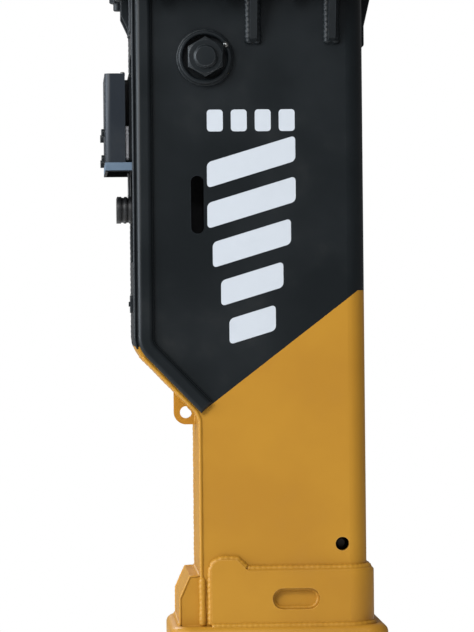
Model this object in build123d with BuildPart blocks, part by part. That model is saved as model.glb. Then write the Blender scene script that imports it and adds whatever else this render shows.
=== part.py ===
# A box-housing hydraulic breaker hammer for an excavator, as an assembly of separate pieces.
#
# Millimetres, +Z up. The origin is the centre of the stick pin's bore and +Y runs along that bore.
# +X is the breaker's front, -X its rear with the hydraulic ports, and -Y its right side.
# Heights in this file are counted from the housing's underside and lengths from the tool's axis:
# the three plane functions below carry them into the model's frame.

from build123d import *

import math
import os

os.makedirs("parts", exist_ok=True)

# ---------------------------------------------------------------- driving dimensions

# Housing, a box of welded plates that narrows at the rear
half_width = 210.0
wall = 25.0
rear_wall = 20.0
front_x = 215.0
rear_x = -423.0
waist_x = -248.0
shoulder_z = 876.0
waist_z = 695.0
housing_top = 1890.0
corner_r = 50.0
shoulder_r = 90.0
waist_r = 45.0
bend_leg = 100.0  # flank of the bent front plate

# Raised rim along the rear edge of each side plate
rim_inset = 10.0  # the rear plate's edge shows beside it
rim_width = 42.0
rim_rise = 20.0
rim_round = 12.0

# Top flange and its bolts
flange_t = 45.0
flange_half_y = half_width + 90.0
flange_rear = 80.0  # overhang behind the housing
flange_front = 77.0  # overhang before the housing
flange_corner_r = 30.0
side_bolt_x = (-350.0, -170.0, 10.0, 190.0)
side_bolt_y = half_width + 45.0
rear_bolt_y = 150.0
bolt_to_plate = 29.0  # flange bolt's axis to the housing's face
bolt_d = 30.0
bolt_hole_d = 33.0
bolt_head_h = 19.0
bolt_flats = 46.0
bolt_nut_h = 24.0
bolt_tail = 21.0
hex_crown = 0.95  # crown of a hexagon's turned-off corners, in widths across flats
hex_crown_angle = 30.0
tip_bevel = 1 / 12  # of a bolt's diameter
washer_d = 56.0
washer_t = 4.0

# Gussets under the flange
side_gusset_x = (-89.0, 127.0)
side_gusset_t = 20.0
side_gusset_z = housing_top - 177.0
side_gusset_nose = (25.0, 17.0)
side_gusset_reach = 80.0
end_gusset_t = 20.0
front_gusset_y = 35.0
front_gusset_z = (housing_top - 183.0, housing_top - 112.0)
front_gusset_rise = 17.0
front_gusset_reach = 43.0
rear_gusset_y = 75.0
rear_gusset_z = (housing_top - 138.0, housing_top - 82.0)
rear_gusset_reach = 26.0

# Mounting bracket
base_t = 40.0
ear_gap = 330.0
ear_t = 50.0
ear_r = 105.0
ear_foot = (-400.0, 270.0)
ear_dip_r = 160.0
ear_dip_rise = 130.0
boss_t = 20.0
boss_d = 190.0
pin_bore = 90.0
bushing_od = 115.0
stick_pin_x = -280.0
link_pin_x = 200.0
stick_pin_rise = 195.0
link_pin_rise = 235.0
stiffener_x = -40.0
stiffener_t = 30.0
stiffener_h = 110.0
ear_gusset_x = (-260.0, -80.0, 100.0)
ear_gusset_h = 88.0
ear_gusset_reach = 72.0

# Cross bolt through the upper rear of the housing
cross_x = -222.0
cross_z = housing_top - 211.0
cross_d = 64.0
cross_play = 1.0
cross_flats = 95.0
cross_nut_h = 51.0
cross_tail = 11.0
cross_tube_t = 12.0
ring_od = 148.0
ring_id = 122.0
ring_t = 22.0

# Openings in the side plates
slot_x = -246.0
slot_z = 1275.0
slot_w = 36.0
slot_l = 160.0

# Foot of the housing
shoe_x = (-331.0, 271.0)
shoe_half_y = half_width + 40.0
shoe_z = 116.0
shoe_floor = 30.0
shoe_hole_d = 300.0
shoe_corner_r = 60.0
shoe_round = 22.0
wrap_t = 20.0
wrap_top = 272.0
wrap_rear_x = -218.0
wrap_round = 9.0
hump_top = 299.0
hump_x = -148.0
hump_r = 30.0
weld_slot_x = 15.0
weld_slot_z = 190.0
weld_slot = (130.0, 58.0)
block_x = -303.0
block_top_x = -276.0
block_z = 192.0
block_top = 253.0
block_half_y = half_width - 15.0
block_round = 10.0

# Lifting lug on the rear slope
lug_x = -276.0
lug_z = 699.0
lug_hole_d = 34.0
lug_r = 34.0
lug_t = 28.0

# Power cell, three square blocks around the tool's axis
tool_d = 150.0
cell = 330.0
cell_corner_r = 22.0
nose_z = -25.0
nose_d = 270.0
nose_top = 60.0
head_top = 740.0
cylinder_top = 1400.0
back_flange_top = 1500.0
back_top = housing_top - 100.0
back_d = 250.0
back_round = 12.0
chamber_d = 170.0
chamber_top = housing_top - 190.0
tie_offset = 122.0
tie_d = 42.0
tie_hole_d = 44.0
tie_z = 560.0
tie_nut_flats = 65.0
tie_nut_h = 34.0
tie_tail = 14.0
running = 0.05  # radial clearance of ground fits
bush_play = 0.4  # radial clearance of the tool in its bushes

# Tool and what holds it
tool_length = 1300.0
tool_tip_z = -650.0
tool_travel = 65.0
tool_neck_d = tool_d - 22.0
tool_neck_h = 40.0
tool_point_h = 190.0
tool_point_d = 22.0
tool_room_d = tool_d + 18.0
lower_bush_od = tool_d + 46.0
lower_bush_top = 150.0
upper_bush_od = tool_d + 40.0
upper_bush_z = 500.0
thrust_ring_od = tool_d + 54.0
thrust_ring_id = tool_d - 15.0
thrust_ring_h = 40.0
thrust_gap = 0.5
seal_z = (-22.0, -6.0)
retainer_z = 338.0
retainer_d = 64.0
retainer_bite = 22.0
retainer_play = 1.0
retainer_x = (-150.0, 158.0)
stop_x = 145.0
stop_d = 20.0
stop_hole_d = 38.0
cover_d = 76.0

# Piston and its cylinder
piston_d = 146.0
piston_rod_d = piston_d - 16.0
piston_top_d = piston_d - 20.0
piston_waist_d = piston_d - 12.0
piston_top_z = 1475.0
piston_land_z = (905.0, 1145.0)
piston_waist_h = 50.0
piston_edge = 8.0
impact_gap = 0.5
carrier_z = 1310.0
carrier_od = piston_d + 50.0
carrier_groove = 5.0

# Control valve
valve_z = (1140.0, 1380.0)
valve_x = -325.0
valve_half_y = 100.0
valve_corner_r = 14.0
valve_port_floor = 8.0  # metal left between a port and the spool's bore
spool_x = -250.0
spool_d = 62.0
spool_z = 1190.0
spool_length = 150.0
spool_travel = 20.0
spool_end_play = 1.5
spool_groove = 8.0
spool_groove_at = (0.3, 0.7)  # shares of the spool's length
plug_flats = 70.0
plug_h = 15.0

# Hydraulic ports
port_z = 1268.0
port_y = 55.0
port_d = 50.0
port_bore = 32.0
port_flats = 65.0
port_end_x = -460.0
cap_d = 72.0
cap_t = 5.0
cap_reach = 38.0
cap_steps = 5  # lands and grooves along a cap

# Accumulator
accumulator_z = 958.0
accumulator_d = 206.0
accumulator_split_x = -245.0
accumulator_end_x = -320.0
accumulator_room = (130.0, 48.0)
accumulator_bolts = 8
accumulator_bolt_circle = 172.0
accumulator_bolt_d = 18.0
accumulator_bolt_head_d = 27.0
accumulator_bolt_grip = 30.0  # depth in the body
accumulator_edge = 5.0

# Gas valve on the back head
gas_valve_z = 1560.0
gas_valve_d = 28.0
gas_valve_reach = 36.0

# Service window in the rear plate
window_z = (1120.0, 1700.0)
window_half_y = 115.0
window_r = 30.0

# Greaser behind its guard
guard_x = (-498.0, -442.0)
guard_z = (1394.0, 1639.0)
guard_half_y = half_width - 20.0
guard_t = 6.0
guard_r = 16.0
tray_h = 25.0
tray_t = 8.0
spacer_y = 150.0
spacer_z = (1405.0, 1477.0)
spacer_d = 18.0
guard_bolt_d = 12.0
guard_bolt_head_d = 22.0
guard_bolt_head_h = 10.0
pump_plate_t = 8.0
pump_plate_half_y = 170.0
pump_plate_top = 1639.0
pump_plate_corner_r = 10.0
pump_half_y = 70.0
pump_z = (1495.0, 1630.0)
pump_rear_x = -488.0
pump_corner_r = 12.0
cartridge_x = -458.0
cartridge_y = -40.0
cartridge_d = 52.0
cartridge_h = 92.0
cartridge_round = 5.0
line_d = 10.0
line_bore = 12.0
line_y = -130.0
line_x = -345.0
line_low_x = -193.0
line_z = 1585.0
line_bend_r = 28.0
line_bend_rise = (30.0, 62.0)  # of the line's two bends over the housing's
inlet_z = 640.0
inlet_side = 30.0
inlet_depth = 30.0
line_dip = 12.0

# Dampers, pads and the beam that guides the upper cell
damper_gap = 1.0
damper_corner_r = 30.0
upper_damper_d = 230.0
upper_damper_bore = 60.0
pad_play = 1.5
pad_width = 140.0
pad_corner_r = 10.0
pad_low_z = (430.0, 630.0)
pad_high_z = (1410.0, 1490.0)
beam_x = (-225.0, -187.0)

# ---------------------------------------------------------------- heights that follow

bracket_z = housing_top + flange_t
ear_z = bracket_z + base_t
stick_pin_z = ear_z + stick_pin_rise
link_pin_z = ear_z + link_pin_rise
flange_x = (rear_x - flange_rear, front_x + flange_front)
inner_half = half_width - wall
cell_half = cell / 2
ear_outer = ear_gap / 2 + ear_t
tool_top_z = tool_tip_z + tool_length
thrust_z = tool_top_z + tool_travel - tool_neck_h + thrust_gap
impact_z = tool_top_z + tool_travel + impact_gap
spigot_z = thrust_z + thrust_ring_h
retainer_y = tool_d / 2 + retainer_d / 2 - retainer_bite

# ---------------------------------------------------------------- frame


def plan(z):
    """Level plane at a height: local x forward, local y to the left, extruding upward."""
    return Plane(origin=(-stick_pin_x, 0, z - stick_pin_z))


def side(y):
    """Upright plane along the housing: local x forward, local y up, extruding to the right (-Y)."""
    return Plane(origin=(-stick_pin_x, y, -stick_pin_z), x_dir=(1, 0, 0), z_dir=(0, -1, 0))


def front(x):
    """Upright plane across the housing: local x to the left, local y up, extruding forward."""
    return Plane(origin=(x - stick_pin_x, 0, -stick_pin_z), x_dir=(0, 1, 0), z_dir=(1, 0, 0))


def seat(plane, x, y, x_dir=None, normal=None):
    """A plane at a local point of another one, which may face or turn another way."""
    return Plane(
        origin=plane.from_local_coords((x, y, 0)),
        x_dir=x_dir or plane.x_dir,
        z_dir=normal or plane.z_dir,
    )


tool_axis = Axis((-stick_pin_x, 0, 0), (0, 0, 1))


def save(piece, label):
    piece.part.label = label
    export_step(piece.part, f"parts/{label}.step")


def turned(*profile):
    """A solid turned about the tool's axis, from radius and height points."""
    with BuildPart() as made:
        with BuildSketch(side(0)):
            with BuildLine():
                Polyline(*profile, close=True)
            make_face()
        revolve(axis=tool_axis)
    return made.part


# ---------------------------------------------------------------- fasteners


def hexagon(flats, height, bore=0.0):
    """A hexagon block on the XY plane with the corners of its top turned off."""
    corner = flats / math.sqrt(3)
    crown = hex_crown * flats / 2
    drop = (corner - crown) * math.tan(math.radians(hex_crown_angle))
    with BuildPart() as made:
        with BuildSketch():
            RegularPolygon(flats / 2, 6, major_radius=False)
        extrude(amount=height)
        with BuildSketch(Plane.XZ):
            with BuildLine():
                Polyline(
                    (0, 0),
                    (corner, 0),
                    (corner, height - drop),
                    (crown, height),
                    (0, height),
                    close=True,
                )
            make_face()
        revolve(axis=Axis.Z, mode=Mode.INTERSECT)
        if bore:
            with BuildSketch():
                Circle(bore / 2)
            extrude(amount=height, mode=Mode.SUBTRACT)
    return made.part


def hex_bolt(flats, head_h, shank_d, length):
    """A hexagon bolt with its head above the XY plane and its shank below."""
    with BuildPart() as made:
        add(hexagon(flats, head_h))
        with BuildSketch():
            Circle(shank_d / 2)
        extrude(amount=-length)
        chamfer(made.faces().sort_by(Axis.Z)[0].edges(), shank_d * tip_bevel)
    return made.part


def socket_bolt(head_d, head_h, shank_d, length):
    """A socket head bolt with its head above the XY plane and its shank below."""
    with BuildPart() as made:
        with BuildSketch():
            Circle(head_d / 2)
        extrude(amount=head_h)
        with BuildSketch(Plane.XY.offset(head_h)):
            RegularPolygon(head_d / 4, 6, major_radius=False)
        extrude(amount=-head_h / 2, mode=Mode.SUBTRACT)
        with BuildSketch():
            Circle(shank_d / 2)
        extrude(amount=-length)
    return made.part


def washer(outer_d, hole_d, thickness):
    with BuildPart() as made:
        with BuildSketch():
            Circle(outer_d / 2)
            Circle(hole_d / 2, mode=Mode.SUBTRACT)
        extrude(amount=thickness)
    return made.part


def group(piece, planes):
    """Separate copies of one piece, each seated on its own plane."""
    with BuildPart() as made:
        with Locations(*planes):
            add(piece)
    return made


# ---------------------------------------------------------------- housing plates


def rear_path(*extra):
    """The rear edge from the top, down the slope and on, with its two bends."""
    FilletPolyline(
        (rear_x, housing_top),
        (rear_x, shoulder_z),
        (waist_x, waist_z),
        *extra,
        radius=(shoulder_r, waist_r)[: 1 + len(extra)],
    )


with BuildPart() as rear_plate:
    with BuildSketch(side(0)):
        with BuildLine():
            rear_path((waist_x, shoe_floor))
            offset(amount=rear_wall, side=Side.LEFT)
        make_face()
    extrude(amount=half_width, both=True)
    with BuildSketch(front(rear_x)):
        with Locations((0, sum(window_z) / 2)):
            RectangleRounded(2 * window_half_y, window_z[1] - window_z[0], window_r)
    extrude(amount=rear_wall, mode=Mode.SUBTRACT)
    with BuildSketch(front(rear_x)):
        with Locations(*[(y, z) for y in (-spacer_y, spacer_y) for z in spacer_z]):
            Circle(guard_bolt_d / 2)
    extrude(amount=rear_wall, mode=Mode.SUBTRACT)
save(rear_plate, "rear_plate")

for label, sign in (("right_side_plate", -1), ("left_side_plate", 1)):
    with BuildPart() as side_plate:
        with BuildSketch(side(sign * half_width)):
            with BuildLine():
                rear_path((waist_x, shoe_floor))
                Polyline(
                    (waist_x, shoe_floor),
                    (front_x - bend_leg, shoe_floor),
                    (front_x - bend_leg, housing_top),
                    (rear_x, housing_top),
                )
            make_face()
            with Locations((slot_x, slot_z)):
                SlotOverall(slot_l, slot_w, rotation=90, mode=Mode.SUBTRACT)
            with Locations((cross_x, cross_z)):
                Circle(cross_d / 2 + cross_play, mode=Mode.SUBTRACT)
        extrude(amount=sign * wall)
        add(rear_plate.part, mode=Mode.SUBTRACT)
    save(side_plate, label)

for label, sign in (("right_rim", -1), ("left_rim", 1)):
    with BuildPart() as rim:
        with BuildSketch(side(sign * half_width)):
            with BuildLine():
                rear_path()
                offset(amount=rim_inset + rim_width, side=Side.LEFT)
            make_face()
            with BuildLine():
                rear_path()
                offset(amount=rim_inset, side=Side.LEFT)
            make_face(mode=Mode.SUBTRACT)
        extrude(amount=-sign * rim_rise)
        crown = rim.faces().sort_by(Axis.Y)[-1 if sign > 0 else 0]
        fillet(crown.edges().sort_by(Axis.Z)[:-1], rim_round)
    save(rim, label)

with BuildPart() as front_plate:
    with BuildSketch(plan(shoe_floor)):
        with BuildLine():
            FilletPolyline(
                (front_x - bend_leg, -half_width),
                (front_x, -half_width),
                (front_x, half_width),
                (front_x - bend_leg, half_width),
                radius=corner_r,
            )
            offset(amount=wall, side=Side.LEFT)
        make_face()
    extrude(amount=housing_top - shoe_floor)
    with BuildSketch(side(0)):
        with Locations((stop_x, retainer_z)):
            Circle(stop_hole_d / 2)
    extrude(amount=half_width, both=True, mode=Mode.SUBTRACT)
    with BuildSketch(front(front_x)):
        with Locations((-retainer_y, retainer_z), (retainer_y, retainer_z)):
            Circle(cover_d / 2)
    extrude(amount=-wall, mode=Mode.SUBTRACT)
save(front_plate, "front_plate")

flange_bolt_points = [(x, y) for x in side_bolt_x for y in (-side_bolt_y, side_bolt_y)]
flange_bolt_points += [(rear_x - bolt_to_plate, y) for y in (-rear_bolt_y, rear_bolt_y)]

for label, z, thickness in (
    ("top_flange", housing_top, flange_t),
    ("bracket_base", bracket_z, base_t),
):
    with BuildPart() as slab:
        with BuildSketch(plan(z)):
            with Locations((sum(flange_x) / 2, 0)):
                RectangleRounded(flange_x[1] - flange_x[0], 2 * flange_half_y, flange_corner_r)
            with Locations(*flange_bolt_points):
                Circle(bolt_hole_d / 2, mode=Mode.SUBTRACT)
        extrude(amount=thickness)
    save(slab, label)

with BuildPart() as side_gussets:
    for sign in (-1, 1):
        for x in side_gusset_x:
            with BuildSketch(front(x - side_gusset_t / 2)):
                with BuildLine():
                    Polyline(
                        (sign * half_width, side_gusset_z),
                        (sign * (half_width + side_gusset_nose[0]), side_gusset_z + side_gusset_nose[1]),
                        (sign * (half_width + side_gusset_reach), housing_top),
                        (sign * half_width, housing_top),
                        close=True,
                    )
                make_face()
            extrude(amount=side_gusset_t)
save(side_gussets, "side_gussets")

with BuildPart() as end_gussets:
    for sign in (-1, 1):
        with BuildSketch(side(sign * front_gusset_y + end_gusset_t / 2)):
            with BuildLine():
                Polyline(
                    (front_x, front_gusset_z[0]),
                    (front_x + front_gusset_rise, front_gusset_z[0] + front_gusset_rise),
                    (front_x + front_gusset_rise, front_gusset_z[1]),
                    (front_x + front_gusset_reach, housing_top),
                    (front_x, housing_top),
                    close=True,
                )
            make_face()
        extrude(amount=end_gusset_t)
        with BuildSketch(side(sign * rear_gusset_y + end_gusset_t / 2)):
            with BuildLine():
                Polyline(
                    (rear_x, rear_gusset_z[0]),
                    (rear_x - rear_gusset_reach, rear_gusset_z[1]),
                    (rear_x - rear_gusset_reach, housing_top),
                    (rear_x, housing_top),
                    close=True,
                )
            make_face()
        extrude(amount=end_gusset_t)
save(end_gussets, "end_gussets")

# ---------------------------------------------------------------- cross bolt

with BuildPart() as nut_guard_rings:
    for sign in (-1, 1):
        with BuildSketch(side(sign * half_width)):
            with Locations((cross_x, cross_z)):
                Circle(ring_od / 2)
                Circle(ring_id / 2, mode=Mode.SUBTRACT)
        extrude(amount=-sign * ring_t)
    chamfer(nut_guard_rings.edges().group_by(Axis.Y)[0] + nut_guard_rings.edges().group_by(Axis.Y)[-1], 4)
save(nut_guard_rings, "nut_guard_rings")

cross_half = half_width + cross_nut_h + cross_tail
with BuildPart() as cross_bolt:
    with BuildSketch(side(0)):
        with Locations((cross_x, cross_z)):
            Circle(cross_d / 2)
    extrude(amount=cross_half, both=True)
    chamfer(cross_bolt.faces().filter_by(Axis.Y).edges(), cross_d * tip_bevel)
save(cross_bolt, "cross_bolt")

cross_nuts = group(
    hexagon(cross_flats, cross_nut_h, cross_d),
    [
        seat(side(sign * half_width), cross_x, cross_z, x_dir=(0, 0, 1), normal=(0, sign, 0))
        for sign in (-1, 1)
    ],
)
save(cross_nuts, "cross_nuts")

with BuildPart() as cross_spacer:
    with BuildSketch(side(0)):
        with Locations((cross_x, cross_z)):
            Circle(cross_d / 2 + cross_play + cross_tube_t)
            Circle(cross_d / 2 + cross_play, mode=Mode.SUBTRACT)
    extrude(amount=inner_half, both=True)
save(cross_spacer, "cross_spacer")

# ---------------------------------------------------------------- foot of the housing

with BuildPart() as lower_wrap:
    with BuildSketch(plan(shoe_z)):
        with BuildLine():
            FilletPolyline(
                (wrap_rear_x, -half_width),
                (front_x, -half_width),
                (front_x, half_width),
                (wrap_rear_x, half_width),
                radius=corner_r,
            )
            offset(amount=wrap_t, side=Side.RIGHT)
        make_face()
    extrude(amount=hump_top - shoe_z)
    with BuildSketch(side(0)):
        with BuildLine():
            Polyline(
                (hump_x, hump_top),
                (hump_x + hump_top - wrap_top, wrap_top),
                (front_x + 2 * wrap_t, wrap_top),
                (front_x + 2 * wrap_t, hump_top),
                close=True,
            )
        make_face()
        with Locations((weld_slot_x, weld_slot_z)):
            SlotOverall(*weld_slot)
    extrude(amount=half_width + wrap_t, both=True, mode=Mode.SUBTRACT)
    rear_corners = lower_wrap.edges().filter_by(Axis.Y).group_by(Axis.X)[0].sort_by(Axis.Z)[-2:]
    fillet(rear_corners, hump_r)
    front_face = lower_wrap.faces().sort_by(Axis.X)[-1]
    fillet(front_face.edges().sort_by(Axis.Z)[-1], wrap_round)
save(lower_wrap, "lower_wrap")

with BuildPart() as bottom_shoe:
    with BuildSketch(plan(0)):
        with Locations((sum(shoe_x) / 2, 0)):
            RectangleRounded(shoe_x[1] - shoe_x[0], 2 * shoe_half_y, shoe_corner_r)
    extrude(amount=shoe_z)
    fillet(bottom_shoe.faces().filter_by(Axis.Z).edges(), shoe_round)
    with BuildSketch(plan(shoe_floor)):
        with BuildLine():
            FilletPolyline(
                (waist_x, -half_width),
                (front_x, -half_width),
                (front_x, half_width),
                (waist_x, half_width),
                radius=corner_r,
            )
            Line((waist_x, half_width), (waist_x, -half_width))
        make_face()
    extrude(amount=shoe_z, mode=Mode.SUBTRACT)
    with BuildSketch(plan(0)):
        Circle(shoe_hole_d / 2)
    extrude(amount=shoe_z, mode=Mode.SUBTRACT)
save(bottom_shoe, "bottom_shoe")

with BuildPart() as rear_block:
    with BuildSketch(side(0)):
        with BuildLine():
            Polyline(
                (waist_x, shoe_z),
                (waist_x, block_top),
                (block_top_x, block_top),
                (block_x, block_z),
                (block_x, shoe_z),
                close=True,
            )
        make_face()
    extrude(amount=block_half_y, both=True)
    fillet(rear_block.edges().filter_by(Axis.Y).group_by(Axis.X)[0], block_round)
save(rear_block, "rear_block")

slope = (shoulder_z - waist_z) / (waist_x - rear_x)
with BuildPart() as lifting_lug:
    with BuildSketch(side(0)):
        with BuildLine():
            Line((waist_x, lug_z - lug_r), (lug_x, lug_z - lug_r))
            CenterArc((lug_x, lug_z), lug_r, 270, -90)
            Polyline(
                (lug_x - lug_r, lug_z),
                (lug_x - lug_r, waist_z + slope * (waist_x - lug_x + lug_r)),
                (waist_x, waist_z),
                (waist_x, lug_z - lug_r),
            )
        make_face()
        with Locations((lug_x, lug_z)):
            Circle(lug_hole_d / 2, mode=Mode.SUBTRACT)
    extrude(amount=lug_t / 2, both=True)
    add(rear_plate.part, mode=Mode.SUBTRACT)
save(lifting_lug, "lifting_lug")

# ---------------------------------------------------------------- mounting bracket

pin_points = ((stick_pin_x, stick_pin_z), (link_pin_x, link_pin_z))

for label, sign in (("right_ear", -1), ("left_ear", 1)):
    with BuildPart() as ear:
        with BuildSketch(side(sign * ear_gap / 2)):
            with BuildLine():
                for x, z in pin_points:
                    CenterArc((x, z), ear_r, 0, 360)
                Line((ear_foot[0], ear_z), (ear_foot[1], ear_z))
            make_hull()
            with Locations(((stick_pin_x + link_pin_x) / 2, link_pin_z + ear_dip_rise)):
                Circle(ear_dip_r, mode=Mode.SUBTRACT)
            with Locations(*pin_points):
                Circle(bushing_od / 2, mode=Mode.SUBTRACT)
        extrude(amount=-sign * ear_t)
        with BuildSketch(side(sign * ear_outer)):
            with Locations(*pin_points):
                Circle(boss_d / 2)
                Circle(bushing_od / 2, mode=Mode.SUBTRACT)
        extrude(amount=-sign * boss_t)
    save(ear, label)

with BuildPart() as pin_bushings:
    for sign in (-1, 1):
        with BuildSketch(side(sign * ear_gap / 2)):
            with Locations(*pin_points):
                Circle(bushing_od / 2)
                Circle(pin_bore / 2, mode=Mode.SUBTRACT)
        extrude(amount=-sign * (ear_t + boss_t))
save(pin_bushings, "pin_bushings")

with BuildPart() as bracket_stiffeners:
    with BuildSketch(front(stiffener_x - stiffener_t / 2)):
        with Locations((0, ear_z + stiffener_h / 2)):
            Rectangle(ear_gap, stiffener_h)
    extrude(amount=stiffener_t)
    for sign in (-1, 1):
        for x in ear_gusset_x:
            with BuildSketch(front(x - end_gusset_t / 2)):
                with BuildLine():
                    Polyline(
                        (sign * ear_outer, ear_z),
                        (sign * (ear_outer + ear_gusset_reach), ear_z),
                        (sign * (ear_outer + ear_gusset_reach), ear_z + end_gusset_t),
                        (sign * ear_outer, ear_z + ear_gusset_h),
                        close=True,
                    )
                make_face()
            extrude(amount=end_gusset_t)
save(bracket_stiffeners, "bracket_stiffeners")

bolt_length = base_t + flange_t + 2 * washer_t + bolt_nut_h + bolt_tail
save(
    group(
        hex_bolt(bolt_flats, bolt_head_h, bolt_d, bolt_length),
        [seat(plan(ear_z + washer_t), x, y) for x, y in flange_bolt_points],
    ),
    "flange_bolts",
)
save(
    group(
        washer(washer_d, bolt_hole_d, washer_t),
        [seat(plan(z), x, y) for x, y in flange_bolt_points for z in (ear_z, housing_top - washer_t)],
    ),
    "flange_washers",
)
save(
    group(
        hexagon(bolt_flats, bolt_nut_h, bolt_d),
        [seat(plan(housing_top - washer_t), x, y, normal=(0, 0, -1)) for x, y in flange_bolt_points],
    ),
    "flange_nuts",
)

# ---------------------------------------------------------------- power cell


def cell_block(z, top):
    """A square block of the power cell with rounded corners."""
    with BuildPart() as made:
        with BuildSketch(plan(z)):
            RectangleRounded(cell, cell, cell_corner_r)
        extrude(amount=top - z)
    return made.part


def tie_rods(z, top, diameter):
    """Four cylinders on the lines of the through bolts, as bolts or as their holes."""
    with BuildPart() as made:
        with BuildSketch(plan(z)):
            with GridLocations(2 * tie_offset, 2 * tie_offset, 2, 2):
                Circle(diameter / 2)
        extrude(amount=top - z)
    return made.part


head_bore = turned(
    (0, nose_z),
    (lower_bush_od / 2, nose_z),
    (lower_bush_od / 2, lower_bush_top),
    (tool_room_d / 2, lower_bush_top),
    (tool_room_d / 2, upper_bush_z),
    (upper_bush_od / 2, upper_bush_z),
    (upper_bush_od / 2, thrust_z),
    (thrust_ring_od / 2, thrust_z),
    (thrust_ring_od / 2, head_top),
    (0, head_top),
)
with BuildPart() as front_head:
    with BuildSketch(plan(nose_z)):
        Circle(nose_d / 2)
    extrude(amount=nose_top - nose_z)
    add(cell_block(nose_top, head_top))
    with BuildSketch(front(-cell_half)):
        with Locations((line_y, inlet_z - inlet_side)):
            Rectangle(inlet_side, 2 * inlet_side)
    extrude(amount=line_low_x + cell_half - inlet_side / 2)
    add(head_bore, mode=Mode.SUBTRACT)
    add(tie_rods(tie_z, head_top, tie_d), mode=Mode.SUBTRACT)
    with BuildSketch(front(retainer_x[0])):
        with Locations((-retainer_y, retainer_z), (retainer_y, retainer_z)):
            Circle(retainer_d / 2)
    extrude(amount=cell_half - retainer_x[0], mode=Mode.SUBTRACT)
    with BuildSketch(side(0)):
        with Locations((stop_x, retainer_z)):
            Circle(stop_d / 2)
    extrude(amount=cell_half, both=True, mode=Mode.SUBTRACT)
    with BuildSketch(plan(inlet_z)):
        with Locations((line_low_x, line_y)):
            Circle(line_bore / 2)
    extrude(amount=-inlet_depth, mode=Mode.SUBTRACT)
save(front_head, "front_head")

cylinder_bore = turned(
    (0, spigot_z),
    (piston_rod_d / 2 + running, spigot_z),
    (piston_rod_d / 2 + running, piston_land_z[0] - impact_gap),
    (piston_d / 2 + running, piston_land_z[0] - impact_gap),
    (piston_d / 2 + running, carrier_z),
    (carrier_od / 2, carrier_z),
    (carrier_od / 2, cylinder_top),
    (0, cylinder_top),
)
with BuildPart() as cylinder:
    with BuildSketch(plan(spigot_z)):
        Circle(thrust_ring_od / 2)
    extrude(amount=head_top - spigot_z)
    add(cell_block(head_top, cylinder_top))
    add(cylinder_bore, mode=Mode.SUBTRACT)
    add(tie_rods(head_top, cylinder_top, tie_hole_d), mode=Mode.SUBTRACT)
save(cylinder, "cylinder")

with BuildPart() as back_head:
    add(cell_block(cylinder_top, back_flange_top))
    with BuildSketch(plan(back_flange_top)):
        Circle(back_d / 2)
    extrude(amount=back_top - back_flange_top)
    fillet(back_head.edges().group_by(Axis.Z)[-1], back_round)
    with BuildSketch(plan(cylinder_top)):
        Circle(chamber_d / 2)
    extrude(amount=chamber_top - cylinder_top, mode=Mode.SUBTRACT)
    add(tie_rods(cylinder_top, back_flange_top, tie_hole_d), mode=Mode.SUBTRACT)
    with BuildSketch(front(-back_d / 2 - gas_valve_reach)):
        with Locations((0, gas_valve_z)):
            Circle(gas_valve_d / 2)
    extrude(amount=gas_valve_reach + back_d / 2 - chamber_d / 2, mode=Mode.SUBTRACT)
save(back_head, "back_head")

with BuildPart() as through_bolts:
    add(tie_rods(tie_z, back_flange_top + tie_nut_h + tie_tail, tie_d))
    chamfer(through_bolts.edges().group_by(Axis.Z)[-1], tie_d * tip_bevel)
save(through_bolts, "through_bolts")

save(
    group(
        hexagon(tie_nut_flats, tie_nut_h, tie_d),
        [
            seat(plan(back_flange_top), x, y, x_dir=(math.sqrt(3), 1, 0))
            for x in (-tie_offset, tie_offset)
            for y in (-tie_offset, tie_offset)
        ],
    ),
    "through_bolt_nuts",
)

with BuildPart() as seal_carrier:
    add(
        turned(
            (piston_top_d / 2 + running, carrier_z),
            (carrier_od / 2, carrier_z),
            (carrier_od / 2, cylinder_top),
            (piston_top_d / 2 + running, cylinder_top),
        )
    )
    carrier_step = (cylinder_top - carrier_z) / 4
    for step in (1, 2, 3):
        with BuildSketch(plan(carrier_z + step * carrier_step - carrier_groove / 2)):
            Circle(piston_top_d / 2 + carrier_groove)
        extrude(amount=carrier_groove, mode=Mode.SUBTRACT)
save(seal_carrier, "seal_carrier")

bush_bore = tool_d / 2 + bush_play
for label, outer_d, bore_r, z, top in (
    ("lower_bush", lower_bush_od, bush_bore, seal_z[1], lower_bush_top),
    ("upper_bush", upper_bush_od, bush_bore, upper_bush_z, thrust_z),
    ("dust_seal", lower_bush_od, bush_bore, *seal_z),
    ("thrust_ring", thrust_ring_od, thrust_ring_id / 2, thrust_z, spigot_z),
):
    with BuildPart() as ring:
        with BuildSketch(plan(z)):
            Circle(outer_d / 2)
            Circle(bore_r, mode=Mode.SUBTRACT)
        extrude(amount=top - z)
    save(ring, label)

with BuildPart() as retaining_pins:
    with BuildSketch(front(retainer_x[0])):
        with Locations((-retainer_y, retainer_z), (retainer_y, retainer_z)):
            Circle(retainer_d / 2)
    extrude(amount=retainer_x[1] - retainer_x[0])
    chamfer(retaining_pins.faces().filter_by(Axis.X).edges(), 3)
    with BuildSketch(side(0)):
        with Locations((stop_x, retainer_z)):
            Circle(stop_d / 2)
    extrude(amount=cell_half, both=True, mode=Mode.SUBTRACT)
save(retaining_pins, "retaining_pins")

with BuildPart() as stop_pins:
    for sign in (-1, 1):
        with BuildSketch(side(sign * cell_half)):
            with Locations((stop_x, retainer_z)):
                Circle(stop_d / 2)
        extrude(amount=sign * (cell_half - retainer_y + retainer_d / 2))
save(stop_pins, "stop_pins")

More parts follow.
